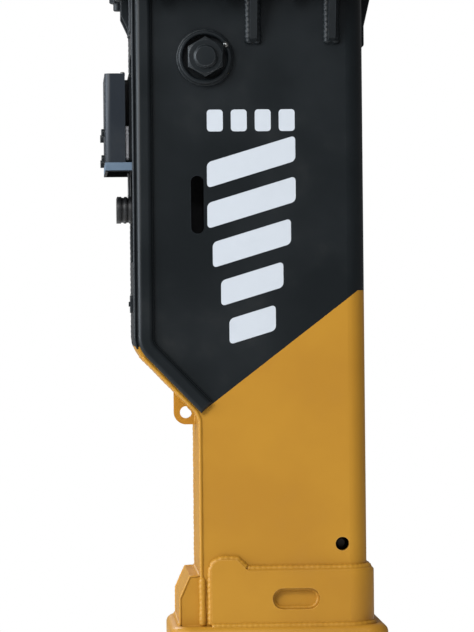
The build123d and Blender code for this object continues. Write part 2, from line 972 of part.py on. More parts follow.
with BuildPart() as retainer_covers:
    with BuildSketch(front(front_x)):
        with Locations((-retainer_y, retainer_z), (retainer_y, retainer_z)):
            Circle(cover_d / 2)
    extrude(amount=-wall / 2)
    with BuildSketch(front(front_x)):
        with Locations((-retainer_y, retainer_z), (retainer_y, retainer_z)):
            RegularPolygon(cover_d / 4, 6, major_radius=False)
    extrude(amount=-wall / 4, mode=Mode.SUBTRACT)
save(retainer_covers, "retainer_covers")

# ---------------------------------------------------------------- tool and piston

flat_y = retainer_y - retainer_d / 2 - retainer_play
flat_top = retainer_z + retainer_d / 2 + thrust_gap
flat_bottom = retainer_z - retainer_d / 2 - tool_travel - 4 * retainer_play
with BuildPart() as tool:
    add(
        turned(
            (0, tool_tip_z),
            (tool_point_d / 2, tool_tip_z),
            (tool_d / 2, tool_tip_z + tool_point_h),
            (tool_d / 2, tool_top_z - tool_neck_h - (tool_d - tool_neck_d) / 4),
            (tool_neck_d / 2 + (tool_d - tool_neck_d) / 4, tool_top_z - tool_neck_h),
            (tool_neck_d / 2, tool_top_z - tool_neck_h),
            (tool_neck_d / 2, tool_top_z - 6),
            (tool_neck_d / 2 - 6, tool_top_z),
            (0, tool_top_z),
        )
    )
    for sign in (-1, 1):
        with BuildSketch(side(sign * flat_y)):
            with Locations((0, (flat_top + flat_bottom) / 2)):
                Rectangle(tool_d, flat_top - flat_bottom)
        extrude(amount=-sign * tool_d / 2, mode=Mode.SUBTRACT)
save(tool, "tool")

piston_waist_z = sum(piston_land_z) / 2
with BuildPart() as piston:
    add(
        turned(
            (0, impact_z),
            (piston_rod_d / 2 - piston_edge, impact_z),
            (piston_rod_d / 2, impact_z + piston_edge),
            (piston_rod_d / 2, piston_land_z[0]),
            (piston_d / 2, piston_land_z[0]),
            (piston_d / 2, piston_waist_z - piston_waist_h / 2),
            (piston_waist_d / 2, piston_waist_z - piston_waist_h / 2),
            (piston_waist_d / 2, piston_waist_z + piston_waist_h / 2),
            (piston_d / 2, piston_waist_z + piston_waist_h / 2),
            (piston_d / 2, piston_land_z[1]),
            (piston_top_d / 2, piston_land_z[1]),
            (piston_top_d / 2, piston_top_z - piston_edge),
            (piston_top_d / 2 - piston_edge, piston_top_z),
            (0, piston_top_z),
        )
    )
save(piston, "piston")

# ---------------------------------------------------------------- control valve and ports

plug_z = spool_z + spool_length + spool_travel + spool_end_play
with BuildPart() as valve_box:
    with BuildSketch(front(valve_x)):
        with Locations((0, sum(valve_z) / 2)):
            RectangleRounded(2 * valve_half_y, valve_z[1] - valve_z[0], valve_corner_r)
    extrude(amount=-cell_half - valve_x)
    with BuildSketch(plan(spool_z - spool_end_play)):
        with Locations((spool_x, 0)):
            Circle(spool_d / 2 + running)
    extrude(amount=valve_z[1] - spool_z + spool_end_play, mode=Mode.SUBTRACT)
    with BuildSketch(front(valve_x)):
        with Locations((-port_y, port_z), (port_y, port_z)):
            Circle(port_bore / 2)
    extrude(amount=spool_x - valve_x - spool_d / 2 - valve_port_floor, mode=Mode.SUBTRACT)
save(valve_box, "valve_box")

with BuildPart() as valve_plug:
    with BuildSketch(plan(plug_z)):
        with Locations((spool_x, 0)):
            Circle(spool_d / 2)
    extrude(amount=valve_z[1] - plug_z)
    with BuildSketch(plan(valve_z[1])):
        with Locations((spool_x, 0)):
            RegularPolygon(plug_flats / 2, 6, major_radius=False)
    extrude(amount=plug_h)
save(valve_plug, "valve_plug")

with BuildPart() as valve_spool:
    with BuildSketch(plan(spool_z)):
        with Locations((spool_x, 0)):
            Circle(spool_d / 2)
    extrude(amount=spool_length)
    chamfer(valve_spool.faces().filter_by(Axis.Z).edges(), 2)
    for share in spool_groove_at:
        with BuildSketch(plan(spool_z + share * spool_length - 2 * spool_groove)):
            with Locations((spool_x, 0)):
                Circle(spool_d / 2)
                Circle(spool_d / 2 - spool_groove, mode=Mode.SUBTRACT)
        extrude(amount=4 * spool_groove, mode=Mode.SUBTRACT)
save(valve_spool, "valve_spool")

with BuildPart() as port_adapters:
    for y in (-port_y, port_y):
        with BuildSketch(front(port_end_x)):
            with Locations((y, port_z)):
                Circle(port_d / 2)
        extrude(amount=valve_x - port_end_x)
        with BuildSketch(front(valve_x)):
            with Locations((y, port_z)):
                RegularPolygon(port_flats / 2, 6, major_radius=False)
        extrude(amount=-port_d / 2)
    with BuildSketch(front(port_end_x)):
        with Locations((-port_y, port_z), (port_y, port_z)):
            Circle(port_bore / 2)
    extrude(amount=valve_x - port_end_x, mode=Mode.SUBTRACT)
save(port_adapters, "port_adapters")

with BuildPart() as port_caps:
    for y in (-port_y, port_y):
        with BuildSketch(front(port_end_x)):
            with Locations((y, port_z)):
                Circle(cap_d / 2)
                Circle(port_d / 2, mode=Mode.SUBTRACT)
        extrude(amount=cap_reach)
        with BuildSketch(front(port_end_x)):
            with Locations((y, port_z)):
                Circle(cap_d / 2)
        extrude(amount=-cap_t)
        for step in range(1, cap_steps - 1, 2):
            with BuildSketch(front(port_end_x + step * cap_reach / cap_steps)):
                with Locations((y, port_z)):
                    Circle(cap_d / 2)
                    Circle(cap_d / 2 - cap_t / 2, mode=Mode.SUBTRACT)
            extrude(amount=cap_reach / cap_steps, mode=Mode.SUBTRACT)
save(port_caps, "port_caps")

# ---------------------------------------------------------------- accumulator and gas valve

with BuildPart() as accumulator_body:
    with BuildSketch(front(accumulator_split_x)):
        with Locations((0, accumulator_z)):
            Circle(accumulator_d / 2)
    extrude(amount=-cell_half - accumulator_split_x)
    with BuildSketch(front(accumulator_split_x)):
        with Locations((0, accumulator_z)):
            Circle(accumulator_room[0] / 2)
    extrude(amount=accumulator_room[1], mode=Mode.SUBTRACT)
    with BuildSketch(front(accumulator_split_x)):
        with Locations((0, accumulator_z)):
            with PolarLocations(accumulator_bolt_circle / 2, accumulator_bolts):
                Circle(accumulator_bolt_d / 2)
    extrude(amount=accumulator_room[1], mode=Mode.SUBTRACT)
save(accumulator_body, "accumulator_body")

with BuildPart() as accumulator_cover:
    with BuildSketch(front(accumulator_split_x)):
        with Locations((0, accumulator_z)):
            Circle(accumulator_d / 2)
    extrude(amount=accumulator_end_x - accumulator_split_x)
    chamfer(accumulator_cover.faces().sort_by(Axis.X)[0].edges(), accumulator_edge)
    with BuildSketch(front(accumulator_split_x)):
        with Locations((0, accumulator_z)):
            Circle(accumulator_room[0] / 2)
    extrude(amount=-accumulator_room[1], mode=Mode.SUBTRACT)
    with BuildSketch(front(accumulator_end_x)):
        with Locations((0, accumulator_z)):
            with PolarLocations(accumulator_bolt_circle / 2, accumulator_bolts):
                Circle(accumulator_bolt_d / 2)
    extrude(amount=accumulator_split_x - accumulator_end_x, mode=Mode.SUBTRACT)
save(accumulator_cover, "accumulator_cover")

accumulator_angles = [math.tau * number / accumulator_bolts for number in range(accumulator_bolts)]
accumulator_seats = [
    seat(
        front(accumulator_end_x),
        accumulator_bolt_circle / 2 * math.cos(angle),
        accumulator_z + accumulator_bolt_circle / 2 * math.sin(angle),
        normal=(-1, 0, 0),
    )
    for angle in accumulator_angles
]
save(
    group(
        socket_bolt(
            accumulator_bolt_head_d,
            accumulator_bolt_d,
            accumulator_bolt_d,
            accumulator_split_x - accumulator_end_x + accumulator_bolt_grip,
        ),
        accumulator_seats,
    ),
    "accumulator_bolts",
)

with BuildPart() as gas_valve:
    with BuildSketch(front(-back_d / 2 - gas_valve_reach)):
        with Locations((0, gas_valve_z)):
            Circle(gas_valve_d / 2)
    extrude(amount=gas_valve_reach + back_d / 2 - chamber_d / 2)
    with BuildSketch(front(-back_d / 2 - gas_valve_reach)):
        with Locations((0, gas_valve_z)):
            RegularPolygon(gas_valve_d / 2 + 3, 6, major_radius=False)
    extrude(amount=gas_valve_d / 2)
save(gas_valve, "gas_valve")

# ---------------------------------------------------------------- dampers and guides

with BuildPart() as lower_damper:
    with BuildSketch(plan(shoe_floor)):
        RectangleRounded(cell, cell, damper_corner_r)
        Circle(shoe_hole_d / 2, mode=Mode.SUBTRACT)
    extrude(amount=nose_top - damper_gap - shoe_floor)
save(lower_damper, "lower_damper")

with BuildPart() as upper_damper:
    with BuildSketch(plan(back_top + damper_gap)):
        Circle(upper_damper_d / 2)
        Circle(upper_damper_bore / 2, mode=Mode.SUBTRACT)
    extrude(amount=housing_top - back_top - damper_gap)
save(upper_damper, "upper_damper")

with BuildPart() as guide_beam:
    with BuildSketch(side(0)):
        with Locations((sum(beam_x) / 2, sum(pad_high_z) / 2)):
            Rectangle(beam_x[1] - beam_x[0], pad_high_z[1] - pad_high_z[0])
    extrude(amount=inner_half, both=True)
save(guide_beam, "guide_beam")

with BuildPart() as wear_pads:
    for z, top in (pad_low_z, pad_high_z):
        rear_face = waist_x + rear_wall if z < waist_z else beam_x[1]
        for x0, x1 in (
            (cell_half + pad_play, front_x - wall),
            (rear_face, -cell_half - pad_play),
        ):
            with BuildSketch(front(x0)):
                with Locations((0, (z + top) / 2)):
                    RectangleRounded(pad_width, top - z, pad_corner_r)
            extrude(amount=x1 - x0)
        for sign in (-1, 1):
            with BuildSketch(side(sign * inner_half)):
                with Locations((0, (z + top) / 2)):
                    RectangleRounded(pad_width, top - z, pad_corner_r)
            extrude(amount=sign * (inner_half - cell_half - pad_play))
save(wear_pads, "wear_pads")

# ---------------------------------------------------------------- greaser

with BuildPart() as lube_guard:
    with BuildSketch(plan(guard_z[0])):
        with Locations((sum(guard_x) / 2, 0)):
            Rectangle(guard_x[1] - guard_x[0], 2 * guard_half_y)
    extrude(amount=guard_z[1] - guard_z[0])
    fillet(lube_guard.edges().filter_by(Axis.Z).group_by(Axis.X)[0], guard_r)
    open_faces = lube_guard.faces().sort_by(Axis.X)[-1:] + lube_guard.faces().sort_by(Axis.Z)[:1]
    offset(amount=-guard_t, openings=open_faces)
    with BuildSketch(front(guard_x[0])):
        with Locations(*[(y, z) for y in (-spacer_y, spacer_y) for z in spacer_z]):
            Circle(guard_bolt_d / 2)
    extrude(amount=guard_t, mode=Mode.SUBTRACT)
save(lube_guard, "lube_guard")

pump_plate_x = rear_x - pump_plate_t
with BuildPart() as pump_bracket:
    with BuildSketch(front(pump_plate_x)):
        with Locations((0, (guard_z[0] + pump_plate_top) / 2)):
            RectangleRounded(2 * pump_plate_half_y, pump_plate_top - guard_z[0], pump_plate_corner_r)
        with Locations(*[(y, z) for y in (-spacer_y, spacer_y) for z in spacer_z]):
            Circle(guard_bolt_d / 2, mode=Mode.SUBTRACT)
        with Locations((cartridge_y, line_z)):
            Circle(line_bore, mode=Mode.SUBTRACT)
    extrude(amount=pump_plate_t)
    with BuildSketch(front(guard_x[0] + guard_t)):
        with Locations(*[(y, z) for y in (-spacer_y, spacer_y) for z in spacer_z]):
            Circle(spacer_d / 2)
            Circle(guard_bolt_d / 2, mode=Mode.SUBTRACT)
    extrude(amount=pump_plate_x - guard_x[0] - guard_t)
save(pump_bracket, "pump_bracket")

guard_seats = [
    seat(front(guard_x[0]), y, z, normal=(-1, 0, 0)) for y in (-spacer_y, spacer_y) for z in spacer_z
]
save(
    group(
        socket_bolt(guard_bolt_head_d, guard_bolt_head_h, guard_bolt_d, rear_x + rear_wall - guard_x[0]),
        guard_seats,
    ),
    "guard_bolts",
)

with BuildPart() as lube_tray:
    with BuildSketch(plan(guard_z[0])):
        with Locations(((guard_x[0] + rear_x) / 2, 0)):
            Rectangle(rear_x - guard_x[0], 2 * guard_half_y)
    extrude(amount=-tray_h)
    with BuildSketch(plan(guard_z[0] - tray_t)):
        with Locations(((guard_x[0] + rear_x) / 2, 0)):
            Rectangle(rear_x - guard_x[0] - 2 * tray_t, 2 * (guard_half_y - tray_t))
    extrude(amount=tray_t - tray_h, mode=Mode.SUBTRACT)
save(lube_tray, "lube_tray")

with BuildPart() as lube_pump:
    with BuildSketch(front(pump_rear_x)):
        with Locations((0, sum(pump_z) / 2)):
            RectangleRounded(2 * pump_half_y, pump_z[1] - pump_z[0], pump_corner_r)
    extrude(amount=pump_plate_x - pump_rear_x)
save(lube_pump, "lube_pump")

with BuildPart() as lube_cartridge:
    with BuildSketch(plan(pump_z[0])):
        with Locations((cartridge_x, cartridge_y)):
            Circle(cartridge_d / 2)
    extrude(amount=-cartridge_h)
    fillet(lube_cartridge.edges().group_by(Axis.Z)[0], cartridge_round)
save(lube_cartridge, "lube_cartridge")

line_route = [
    (pump_plate_x, cartridge_y, line_z),
    (line_x, cartridge_y, line_z),
    (line_x, line_y, line_z - (cartridge_y - line_y)),
    (line_x, line_y, shoulder_z + line_bend_rise[0]),
    (line_low_x, line_y, waist_z + line_bend_rise[1]),
    (line_low_x, line_y, inlet_z - line_dip),
]
with BuildPart() as lube_line:
    with BuildLine(plan(0)) as route:
        FilletPolyline(*line_route, radius=line_bend_r)
    with BuildSketch(Plane(origin=route.wires()[0] @ 0, z_dir=route.wires()[0] % 0)):
        Circle(line_d / 2)
    sweep(path=route.wires()[0])
save(lube_line, "lube_line")
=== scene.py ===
# %% [markdown]
# # A hydraulic breaker hammer
# A breaker hammer hangs from an excavator's arm and strikes a steel point against rock or
# concrete. What we see is a box of welded plates, painted in two colours. The machine that does
# the striking floats inside the box on rubber blocks. All the solid pieces come ready made from
# the frame, in metres. This lesson adds what a drawing office leaves to the workshop: weld beads,
# paint, bare steel, wear, a printed graphic, small fittings, light and a camera.

import math

import bmesh
import bpy
from mathutils import Matrix, Vector


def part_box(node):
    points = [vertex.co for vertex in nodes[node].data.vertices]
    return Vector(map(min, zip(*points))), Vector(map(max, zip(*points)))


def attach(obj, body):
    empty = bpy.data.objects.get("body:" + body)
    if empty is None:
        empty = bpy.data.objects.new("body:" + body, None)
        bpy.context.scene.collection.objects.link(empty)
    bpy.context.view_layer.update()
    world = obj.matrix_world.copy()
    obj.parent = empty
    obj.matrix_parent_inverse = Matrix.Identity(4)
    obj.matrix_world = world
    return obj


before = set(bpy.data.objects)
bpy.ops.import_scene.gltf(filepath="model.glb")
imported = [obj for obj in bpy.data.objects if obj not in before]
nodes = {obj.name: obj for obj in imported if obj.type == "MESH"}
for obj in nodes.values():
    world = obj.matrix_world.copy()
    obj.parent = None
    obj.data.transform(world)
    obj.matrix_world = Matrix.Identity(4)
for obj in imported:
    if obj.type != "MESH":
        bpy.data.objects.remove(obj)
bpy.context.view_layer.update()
print("pieces in the frame:", len(nodes))

# %% [markdown]
# The drawings of such a machine count heights from the underside of its box and lengths from the
# axis of the tool, in millimetres. We do the same, so each number below can be checked against the
# plates. The function `at` turns such a place into the frame's metres. Its two offsets are
# measured on the frame, so they stay right if the frame's origin changes.

# %% Workshop coordinates
MM = 0.001
tool_low, tool_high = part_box("tool")
shoe_low, shoe_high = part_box("bottom_shoe")
plate_low, plate_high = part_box("right_side_plate")
flange_low, flange_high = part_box("top_flange")
TOOL_X = (tool_low.x + tool_high.x) / 2
UNDERSIDE_Z = shoe_low.z
HALF = plate_high.y / MM if plate_high.y > 0 else -plate_low.y / MM
TOP = (flange_low.z - UNDERSIDE_Z) / MM


def at(x, y, z):
    """A place in the frame, from millimetres forward, to the left and up from the underside."""
    return Vector((TOOL_X + x * MM, y * MM, UNDERSIDE_Z + z * MM))


REAR_X = (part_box("rear_plate")[0].x - TOOL_X) / MM
FRONT_X = (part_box("front_plate")[1].x - TOOL_X) / MM
WAIST_X = -248.0
WAIST_Z = 695.0
SHOULDER_Z = 876.0
print(f"half width {HALF:.0f} mm, height of the box {TOP:.0f} mm, rear at {REAR_X:.0f} mm")

# %% [markdown]
# Shaders are small sums. A mask is one minus another mask, a colour is a bit of this and a bit of
# that. Drawing each sum as a web of nodes hides it, so this class lets us write it as arithmetic:
# adding or multiplying two values adds the Math node that does it.


# %% A value in a shader
class Value:
    """One output socket of a material, usable in arithmetic."""

    def __init__(self, finish, socket):
        self.finish = finish
        self.socket = socket

    def _math(self, operation, first, second):
        made = self.finish.node("ShaderNodeMath", {"operation": operation}, {0: first, 1: second})
        return made["Value"]

    def __add__(self, other):
        return self._math("ADD", self, other)

    def __radd__(self, other):
        return self._math("ADD", other, self)

    def __sub__(self, other):
        return self._math("SUBTRACT", self, other)

    def __rsub__(self, other):
        return self._math("SUBTRACT", other, self)

    def __mul__(self, other):
        return self._math("MULTIPLY", self, other)

    def __rmul__(self, other):
        return self._math("MULTIPLY", other, self)

    def __gt__(self, other):
        return self._math("GREATER_THAN", self, other)

    def __lt__(self, other):
        return self._math("LESS_THAN", self, other)

    def at_most(self, other):
        return self._math("MINIMUM", self, other)

    def size(self):
        """The value without its sign."""
        return self._math("ABSOLUTE", self, 0.0)

    def between(self, low, high):
        """0 below low, 1 above high, and a smooth step from one to the other."""
        made = self.finish.node(
            "ShaderNodeMapRange",
            {"interpolation_type": "SMOOTHSTEP"},
            {"Value": self, "From Min": low, "From Max": high},
        )
        return made["Result"]


# %% [markdown]
# A finish is one material. It owns a Principled shader, and has one method that makes any other
# node, with its settings first and then the values or links of its sockets. The helpers under it
# are the few words that a painter or a machinist would use: the place on the piece, cloudy noise,
# and an edge. The edge compares the true surface with one that has its corners rounded off: they
# only differ close to a corner, which is where paint gets thin and handling leaves its marks, and
# where the paint also gets a painted highlight.


# %% A finish
class Finish:
    def __init__(self, name):
        self.material = bpy.data.materials.new(name)
        self.material.use_nodes = True
        self.tree = self.material.node_tree
        self.shader = self.tree.nodes["Principled BSDF"]
        self.place = self.node("ShaderNodeTexCoord", {}, {})["Object"]

    def node(self, kind, settings, inputs):
        made = self.tree.nodes.new(kind)
        for key, value in settings.items():
            setattr(made, key, value)
        for key, value in inputs.items():
            self.feed(self.socket(made.inputs, key), value)
        return {s.name: Value(self, s) for s in reversed(made.outputs) if s.enabled}

    def socket(self, sockets, key):
        """A socket by its number, or by its name among those that the node now shows."""
        if isinstance(key, int):
            return sockets[key]
        return next(s for s in sockets if s.name == key and s.enabled)

    def feed(self, socket, value):
        if isinstance(value, Value):
            self.tree.links.new(value.socket, socket)
        else:
            socket.default_value = value

    def surface(self, **inputs):
        """Sets the main shader's sockets. An underscore in a key is a blank in its name."""
        for key, value in inputs.items():
            self.feed(self.shader.inputs[key.replace("_", " ")], value)
        return self.material

    def stretched(self, scale):
        inputs = {"Vector": self.place, "Scale": scale}
        return self.node("ShaderNodeMapping", {}, inputs)["Vector"]

    def noise(self, scale, detail=2.0, rough=0.5, place=None):
        inputs = {"Vector": place or self.place, "Scale": scale, "Detail": detail, "Roughness": rough}
        return self.node("ShaderNodeTexNoise", {}, inputs)["Fac"]

    def mix(self, share, first, second):
        inputs = {"Factor": share, "A": first, "B": second}
        return self.node("ShaderNodeMix", {"data_type": "RGBA"}, inputs)["Result"]

    def axes(self):
        split = self.node("ShaderNodeSeparateXYZ", {}, {"Vector": self.place})
        return split["X"], split["Y"], split["Z"]

    def edge(self, radius):
        """Near 1 within that radius of a corner, and 0 on the flat."""
        rounded = self.node("ShaderNodeBevel", {"samples": 4}, {"Radius": radius})["Normal"]
        true = self.node("ShaderNodeNewGeometry", {}, {})["Normal"]
        same = self.node("ShaderNodeVectorMath", {"operation": "DOT_PRODUCT"}, {0: rounded, 1: true})
        return (1.0 - same["Value"]).between(0.01, 0.16)

    def bump(self, height, distance, normal=None):
        inputs = {"Height": height, "Distance": distance, "Strength": 1.0}
        if normal:
            inputs["Normal"] = normal
        return self.node("ShaderNodeBump", {}, inputs)["Normal"]


# %% [markdown]
# Paint on welded plate is never even. The gun lays it in passes, so it is a little lighter and
# darker in clouds about a hand wide. It dries with a fine orange peel, it is thinner on the corners,
# and dust settles in a breaker's paint long before rust does. The lighter colour on the corners is
# partly that thin paint and partly a painted highlight. All of that is in one function, so that the
# black and the yellow are plainly the same workshop's paint. A colour may be a mix of two, which is
# how the plates get their dividing line.

# %% Paint
BLACK = (0.0052, 0.0074, 0.0089, 1.0)
BLUE_BLACK = (0.0125, 0.0165, 0.0225, 1.0)
# The thin colours are partly thin paint and partly a painted highlight along the edges.
BLACK_THIN_AND_HIGHLIGHT = (0.034, 0.041, 0.048, 1.0)
YELLOW = (0.446, 0.220, 0.0232, 1.0)
YELLOW_DEEP = (0.402, 0.190, 0.0180, 1.0)
YELLOW_THIN_AND_HIGHLIGHT = (0.700, 0.400, 0.120, 1.0)
DUST = (0.300, 0.270, 0.220, 1.0)


def paint(name, black_where, black=BLACK, wear_and_highlight_where=None, thin_and_highlight_black=BLACK_THIN_AND_HIGHLIGHT):
    """Satin paint. black_where makes a mask from a finish, 1 where it is black, or is 0 or 1."""
    f = Finish(name)
    mask = black_where(f) if callable(black_where) else black_where
    clouds = f.noise(3.5, 3.0).between(0.30, 0.72)
    specks = f.noise(900.0, 1.0)
    # The corners take the thin colour: partly thin, worn paint, partly a painted edge highlight.
    edges = f.edge(0.004) * f.noise(60.0, 4.0).between(0.30, 0.62)
    if wear_and_highlight_where:
        edges = edges * wear_and_highlight_where(f)
    yellow = f.mix(clouds, YELLOW, YELLOW_DEEP)
    body = f.mix(mask, yellow, f.mix(0.12 * clouds, black, BLACK_THIN_AND_HIGHLIGHT))
    thin_and_highlight = f.mix(mask, YELLOW_THIN_AND_HIGHLIGHT, thin_and_highlight_black)
    dust = f.noise(7.0, 8.0, 0.65).between(0.52, 0.80) * 0.02
    colour = f.mix(edges * 0.6, f.mix(dust, body, DUST), thin_and_highlight)
    peel = f.noise(260.0, 2.0) + 0.35 * f.noise(1100.0, 1.0)
    rough = 0.34 + 0.10 * clouds + 0.05 * specks - 0.08 * edges + 1.5 * dust
    return f.surface(
        Base_Color=colour,
        Roughness=rough,
        Normal=f.bump(peel, 0.00009),
        Specular_IOR_Level=0.20,
    )


black_paint = paint("black paint", 1.0)
blue_black_paint = paint("blue black paint", 1.0, BLUE_BLACK)
yellow_paint = paint("yellow paint", 0.0)
# Nuts and bolts get a much lighter edge colour: partly wrench wear, partly a painted highlight that stands
# in for light thrown up from the floor.
highlit_handled_paint = paint("handled black paint with painted highlights", 1.0, thin_and_highlight_black=(0.16, 0.17, 0.18, 1.0))
print("paints:", black_paint.name, blue_black_paint.name, yellow_paint.name)

# %% [markdown]
# The dividing line was masked with tape. On the sides it climbs from the foot of the rear slope to
# the front, and runs level round the front corner from there. On the rear plate it is level with
# the bend. One plane equation gives the height of the line over every point, and a minimum makes
# it stop climbing. The tape lets a hair's breadth of paint creep, so a fine noise moves the line.
# The flush seams between the side plates and the bent plates aren't edges, so neither worn paint
# nor the painted edge highlight shows there.

# %% Two-tone paint
LINE_FOOT = at(-239, 0, 705)
LINE_END = at(195, 0, 1036)
REAR_LINE_Z = at(0, 0, 886).z
CREEP = 0.0014
FRONT_SEAM = at(FRONT_X - 100, 0, 0).x
REAR_SEAM = at(WAIST_X + 20, 0, 0).x
LINE_SLOPE = (LINE_END.z - LINE_FOOT.z) / (LINE_END.x - LINE_FOOT.x)


def above_side_line(f):
    x, _, z = f.axes()
    creep = (f.noise(220.0, 2.0) - 0.5) * CREEP
    line = ((x - LINE_FOOT.x) * LINE_SLOPE + LINE_FOOT.z).at_most(LINE_END.z)
    return (z + creep) > line


def above_rear_line(f):
    _, _, z = f.axes()
    return (z + (f.noise(220.0, 2.0) - 0.5) * CREEP) > REAR_LINE_Z


def away_from_seams(f):
    """The side plate meets the bent plates flush, and those welds are ground flat: no edge."""
    x, _, _ = f.axes()
    front = (x - FRONT_SEAM).size().between(0.006, 0.012)
    rear = (x - REAR_SEAM).size().between(0.006, 0.012)
    return front * rear


side_paint = paint("two tone side paint", above_side_line, wear_and_highlight_where=away_from_seams)
rear_paint = paint("two tone rear paint", above_rear_line, wear_and_highlight_where=away_from_seams)
print("line climbs at", round(math.degrees(math.atan(LINE_SLOPE)), 1), "degrees")

# %% [markdown]
# Bare metal comes in several sorts here. The tool is forged, then turned, so fine rings run round
# it. The pins and the piston are ground. The blocks of the power cell are milled, phosphated and left
# oily, and the bolts are dark from heat treatment. They differ in how fine and in which direction
# their marks run, so one function takes the marks' stretch. The phosphate is made near black:
# partly its own dark grey, partly painted shade, since the power cell is only seen through the slots.


# %% Steels and bronze
def metal(name, colour, dark, rough, marks, depth, stain=0.25):
    """Machined metal. marks stretches the tool marks along the axes, in marks per metre."""
    f = Finish(name)
    lines = f.noise(1.0, 2.0, place=f.stretched(marks))
    stains = f.noise(14.0, 6.0, 0.62).between(0.38, 0.75)
    edges = f.edge(0.003) * f.noise(80.0, 3.0).between(0.25, 0.55)
    tone = f.mix(stains * stain, colour, dark)
    return f.surface(
        Base_Color=f.mix(edges * 0.5, f.mix(lines * 0.25, tone, dark), colour),
        Metallic=1.0,
        Roughness=rough + 0.18 * stains + 0.10 * lines - 0.10 * edges,
        Normal=f.bump(lines, depth),
    )


STEEL = (0.42, 0.43, 0.45, 1.0)
DARK_STEEL = (0.12, 0.12, 0.13, 1.0)
GROUND = (0.56, 0.57, 0.58, 1.0)
# Near black: partly the phosphate's own dark grey, partly painted shade for what is seen through the
# slots.
PHOSPHATE_AND_SHADE, PHOSPHATE_AND_SHADE_DARK = (0.030, 0.031, 0.033, 1.0), (0.010, 0.010, 0.011, 1.0)
BLACKENED, BLACKENED_DARK = (0.055, 0.057, 0.062, 1.0), (0.020, 0.020, 0.022, 1.0)
ZINC, ZINC_DARK = (0.34, 0.34, 0.33, 1.0), (0.16, 0.16, 0.15, 1.0)
BRONZE, BRONZE_DARK = (0.60, 0.36, 0.15, 1.0), (0.25, 0.14, 0.06, 1.0)
ROUND_MARKS = (40.0, 40.0, 1500.0)
FINE_ROUND_MARKS = (60.0, 60.0, 2200.0)
MILL_MARKS = (700.0, 50.0, 50.0)
turned_steel = metal("turned steel", STEEL, DARK_STEEL, 0.28, ROUND_MARKS, 0.00012, 0.4)
ground_steel = metal("ground steel", GROUND, DARK_STEEL, 0.16, FINE_ROUND_MARKS, 0.00003)
milled_steel_and_shade = metal("phosphated steel and painted shade", PHOSPHATE_AND_SHADE, PHOSPHATE_AND_SHADE_DARK, 0.45, MILL_MARKS, 0.00006, 0.6)
bolt_steel = metal("blackened steel", BLACKENED, BLACKENED_DARK, 0.40, (300.0,) * 3, 0.00005)
zinc_steel = metal("zinc plate", ZINC, ZINC_DARK, 0.34, (200.0,) * 3, 0.00003)
bronze = metal("bronze", BRONZE, BRONZE_DARK, 0.30, (50.0, 900.0, 50.0), 0.00005)
print("metals: 6")

# %% [markdown]
# Rubber and moulded plastic scatter light in their skin, so they stay matte. Rubber blooms grey
# where it was flexed. Plastic has the fine spark-eroded grain of its mould.


# %% Rubber, plastic and vinyl
def moulded(name, colour, worn, rough, grain, depth):
    f = Finish(name)
    bloom = f.noise(11.0, 5.0, 0.6).between(0.40, 0.80)
    skin = f.noise(grain, 2.0)
    edges = f.edge(0.002)
    return f.surface(
        Base_Color=f.mix(0.5 * bloom + 0.35 * edges, colour, worn),
        Roughness=rough + 0.12 * bloom - 0.08 * skin,
        Normal=f.bump(skin, depth),
    )


RUBBER, BLOOM = (0.012, 0.012, 0.012, 1.0), (0.045, 0.044, 0.042, 1.0)
PLASTIC, PLASTIC_WORN = (0.0045, 0.0050, 0.0058, 1.0), (0.016, 0.017, 0.019, 1.0)
CREAM, CREAM_WORN = (0.45, 0.43, 0.36, 1.0), (0.28, 0.26, 0.21, 1.0)
# The cartridge's pale colour is partly its own and partly painted light: the guard keeps the lamps off it,
# and a lighter colour stands in for the light it lacks.
PALE_AND_LIT, PALE_AND_LIT_WORN = (0.66, 0.67, 0.71, 1.0), (0.46, 0.47, 0.50, 1.0)
WHITE, WHITE_WORN = (0.54, 0.58, 0.63, 1.0), (0.49, 0.53, 0.58, 1.0)
rubber = moulded("rubber", RUBBER, BLOOM, 0.66, 700.0, 0.0001)
plastic = moulded("moulded plastic", PLASTIC, PLASTIC_WORN, 0.50, 1500.0, 0.00006)
guide_plastic = moulded("guide plastic", CREAM, CREAM_WORN, 0.48, 900.0, 0.00005)
lit_cartridge_plastic = moulded("cartridge plastic with painted light", PALE_AND_LIT, PALE_AND_LIT_WORN, 0.42, 1200.0, 0.00004)
vinyl = moulded("white vinyl", WHITE, WHITE_WORN, 0.40, 300.0, 0.00004)
print("moulded finishes: 5")

# %% [markdown]
# The greaser stands on a tray. Its rear face and ends are painted blue-grey as a painted reflection
# of the sky, and its underside and inner walls near black as painted shade. Masks on height and depth
# choose.

# %% Tray with painted sky reflection and painted shade
tray_low, tray_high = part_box("lube_tray")
SKIN = 0.003
f = Finish("tray painted reflection and shade")
depth, across, height = f.axes()
rear_face = depth < (tray_low.x + SKIN)
ends = across.size() > (tray_high.y - SKIN)
# Painted sky reflection in blue-grey on the rear face and ends; elsewhere painted shade in near black.
outside = (rear_face + ends).at_most(1.0) * (height > (tray_low.z + SKIN))
grain = f.noise(500.0, 2.0)
sky_reflection_coat = f.mix(f.noise(30.0, 4.0), (0.085, 0.125, 0.175, 1.0), (0.130, 0.180, 0.240, 1.0))
tray_painted_light = f.surface(
    Base_Color=f.mix(outside, (0.0015, 0.002, 0.003, 1.0), sky_reflection_coat),
    Roughness=0.50 + 0.10 * grain,
    Normal=f.bump(grain, 0.00006),
    Specular_IOR_Level=0.15,
)
print("tray is", round((tray_high.z - tray_low.z) / MM), "mm high")

# %% [markdown]
# Now each ready-made piece gets its finish. Its mesh isn't touched. Two modifiers do what the
# workshop does after cutting: the loose triangles are joined, and sharp corners are broken by a
# small bevel, which is what catches the light on a real edge, while flat faces stay flat beside it.
# The side, front and rear plates are only joined.

